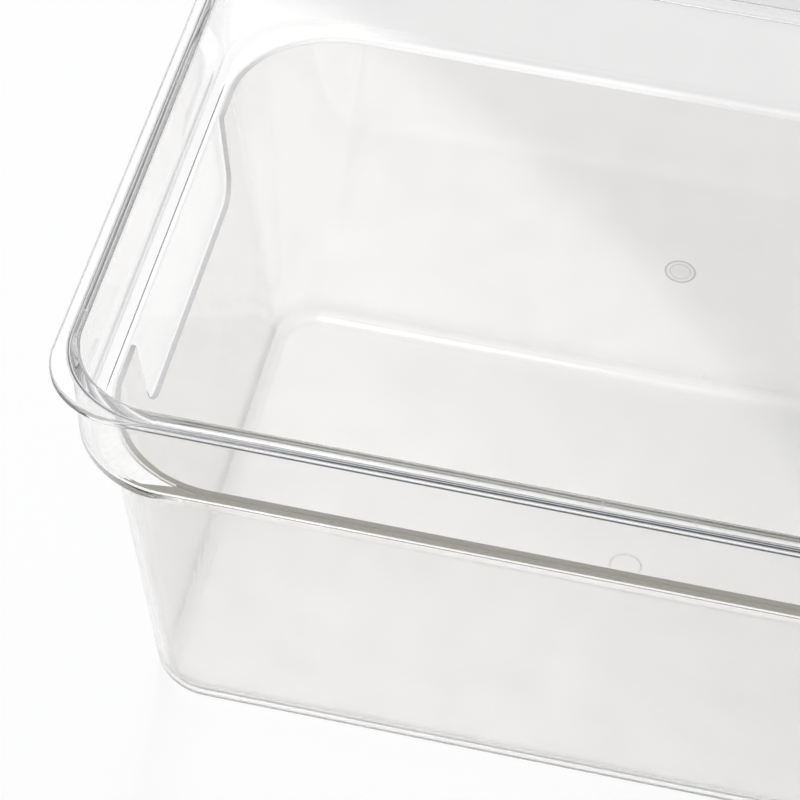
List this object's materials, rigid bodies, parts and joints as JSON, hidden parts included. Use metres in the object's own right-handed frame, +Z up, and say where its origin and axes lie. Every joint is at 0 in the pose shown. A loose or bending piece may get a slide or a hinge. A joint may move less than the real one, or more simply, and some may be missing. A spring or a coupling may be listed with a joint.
{
  "type": "desktop storage box",
  "caption": "Clear moulded storage box with a flat lip, a stepped neck and tapered walls, holding a thin clear liner that lifts straight out.",
  "frame": {"origin": "middle of the underside, on the surface that the box stands on", "axes": "+X along the long side, +Y along the short side, +Z up out of the open top"},
  "size_m": [0.291, 0.202, 0.1325],
  "materials": {
    "clear_box": "clear, polished, with fine handling scratches",
    "clear_liner": "clear, polished, with a slightly grey edge"
  },
  "bodies": {
    "box": {"outer_box": "clear_box"},
    "liner": {"lift_out_liner": "clear_liner"}
  },
  "joints": [
    {"name": "liner_lift", "type": "slide", "parent": "box", "child": "liner", "axis": [0, 0, 1], "range_m": [0, 0.135]}
  ]
}
